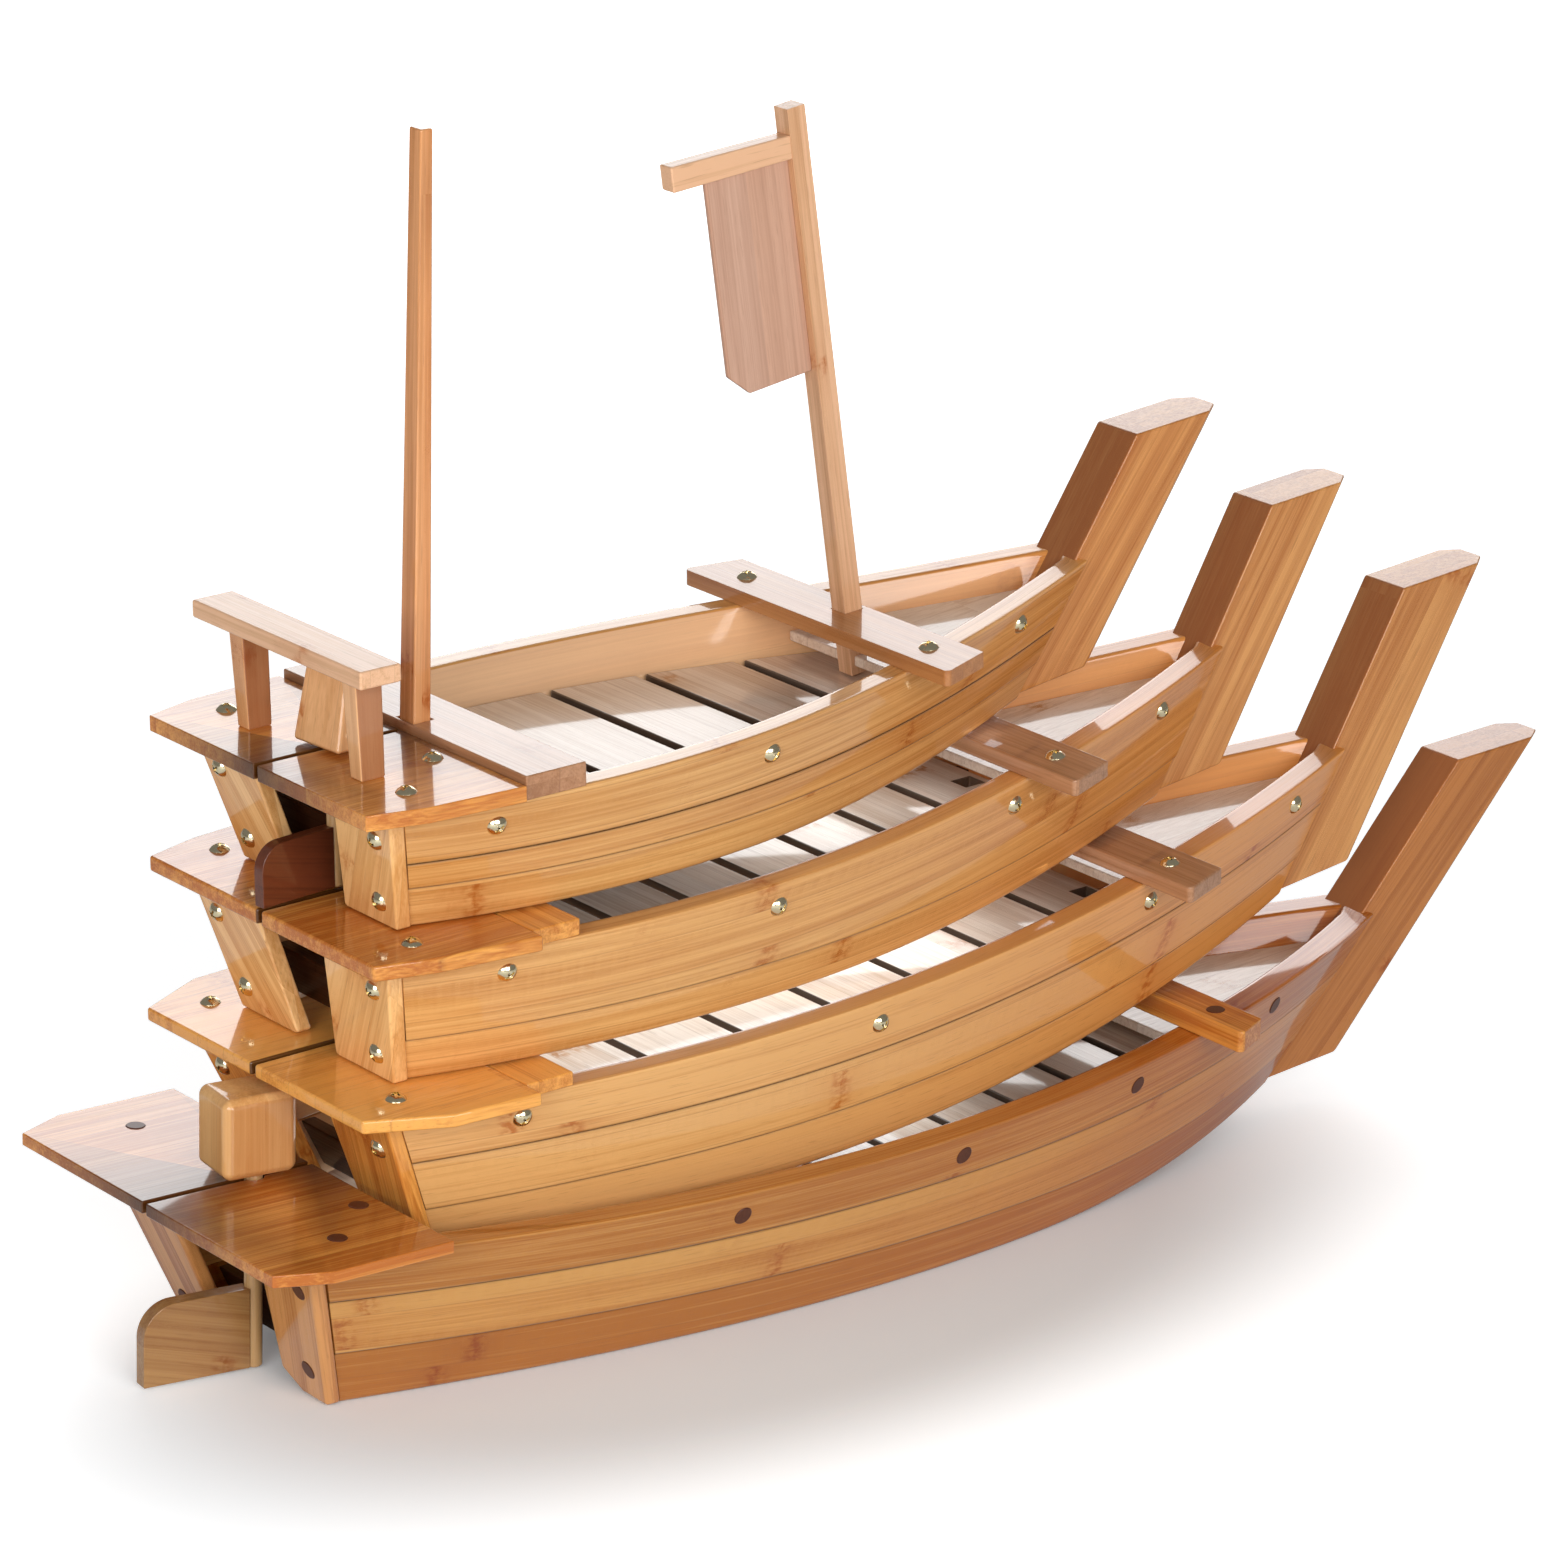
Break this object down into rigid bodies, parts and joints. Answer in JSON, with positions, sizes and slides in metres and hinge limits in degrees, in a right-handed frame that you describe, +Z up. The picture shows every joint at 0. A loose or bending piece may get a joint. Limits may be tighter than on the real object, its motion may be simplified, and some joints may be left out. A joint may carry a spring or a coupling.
{
  "type": "stack of nesting sushi boats",
  "caption": "Lacquered bamboo sushi serving boats nested in a stack, the top one rigged with masts, sail, rail and rudder",
  "frame": {"origin": "on the table, under the middle of the stack's bounding box", "axes": "+X towards the bows, +Y to port, +Z up"},
  "size_m": [0.8275, 0.224, 0.5532],
  "materials": {
    "honey_bamboo": "gloss lacquer",
    "brown_bamboo": "gloss lacquer",
    "amber_bamboo": "gloss lacquer",
    "pale_bamboo": "gloss lacquer",
    "red_bamboo": "gloss lacquer",
    "tan_bamboo": "satin lacquer",
    "brass": "polished",
    "dark_plug": "gloss lacquer"
  },
  "bodies": {
    "bottom_boat": {"bottom_boat_bow_beam": "amber_bamboo", "bottom_boat_bow_deck": "pale_bamboo", "bottom_boat_deck_boards": "amber_bamboo", "bottom_boat_floor_bearers": "brown_bamboo", "bottom_boat_floor_slats": "pale_bamboo", "bottom_boat_plugs": "dark_plug", "bottom_boat_port_side": "brown_bamboo", "bottom_boat_starboard_side": "brown_bamboo", "bottom_boat_stem_post": "brown_bamboo", "bottom_boat_stern_crosspiece": "red_bamboo", "bottom_boat_stern_posts": "brown_bamboo"},
    "bottom_rudder": {"bottom_boat_rudder_blade": "brown_bamboo", "bottom_boat_rudder_head": "brown_bamboo", "bottom_boat_rudder_post": "pale_bamboo"},
    "lower_boat": {"lower_boat_aft_thwart": "amber_bamboo", "lower_boat_bow_beam": "red_bamboo", "lower_boat_bow_deck": "pale_bamboo", "lower_boat_deck_boards": "amber_bamboo", "lower_boat_floor_bearers": "honey_bamboo", "lower_boat_floor_slats": "pale_bamboo", "lower_boat_port_side": "honey_bamboo", "lower_boat_screws": "brass", "lower_boat_starboard_side": "honey_bamboo", "lower_boat_stem_post": "honey_bamboo", "lower_boat_stern_crosspiece": "red_bamboo", "lower_boat_stern_posts": "honey_bamboo"},
    "upper_boat": {"upper_boat_aft_thwart": "amber_bamboo", "upper_boat_bow_beam": "red_bamboo", "upper_boat_bow_deck": "pale_bamboo", "upper_boat_deck_boards": "amber_bamboo", "upper_boat_floor_bearers": "honey_bamboo", "upper_boat_floor_slats": "pale_bamboo", "upper_boat_port_side": "honey_bamboo", "upper_boat_screws": "brass", "upper_boat_starboard_side": "honey_bamboo", "upper_boat_stem_post": "honey_bamboo", "upper_boat_stern_crosspiece": "red_bamboo", "upper_boat_stern_posts": "honey_bamboo"},
    "top_boat": {"top_boat_aft_thwart": "red_bamboo", "top_boat_bow_beam": "honey_bamboo", "top_boat_bow_deck": "pale_bamboo", "top_boat_deck_boards": "amber_bamboo", "top_boat_floor_bearers": "honey_bamboo", "top_boat_floor_slats": "pale_bamboo", "top_boat_port_side": "honey_bamboo", "top_boat_rail_bar": "tan_bamboo", "top_boat_rail_legs": "tan_bamboo", "top_boat_screws": "brass", "top_boat_starboard_side": "honey_bamboo", "top_boat_stem_post": "honey_bamboo", "top_boat_stern_crosspiece": "red_bamboo", "top_boat_stern_posts": "honey_bamboo"},
    "top_rudder": {"top_boat_rudder_blade": "red_bamboo", "top_boat_rudder_head": "honey_bamboo", "top_boat_rudder_post": "pale_bamboo"},
    "rear_mast": {"top_boat_rear_mast": "tan_bamboo"},
    "sail_rig": {"top_boat_sail_board": "tan_bamboo", "top_boat_sail_mast": "tan_bamboo", "top_boat_yard": "tan_bamboo"}
  },
  "joints": [
    {"name": "bottom_rudder_turn", "type": "hinge", "parent": "bottom_boat", "child": "bottom_rudder", "pos_m": [-0.355, 0, 0.091], "axis": [0, 0, 1], "range_deg": [-30, 30]},
    {"name": "lower_boat_lift", "type": "slide", "parent": "bottom_boat", "child": "lower_boat", "axis": [0, 0, 1], "range_m": [0, 0.16]},
    {"name": "upper_boat_lift", "type": "slide", "parent": "lower_boat", "child": "upper_boat", "axis": [0, 0, 1], "range_m": [0, 0.16]},
    {"name": "top_boat_lift", "type": "slide", "parent": "upper_boat", "child": "top_boat", "axis": [0, 0, 1], "range_m": [0, 0.16]},
    {"name": "top_rudder_turn", "type": "hinge", "parent": "top_boat", "child": "top_rudder", "pos_m": [-0.31463, 0, 0.28331], "axis": [-0.0401, 0, 0.9992], "range_deg": [-30, 30]},
    {"name": "rear_mast_lift", "type": "slide", "parent": "top_boat", "child": "rear_mast", "axis": [0, 0, 1], "range_m": [0, 0.04]},
    {"name": "sail_rig_lift", "type": "slide", "parent": "top_boat", "child": "sail_rig", "axis": [-0.1719, 0, 0.9851], "range_m": [0, 0.045]}
  ]
}
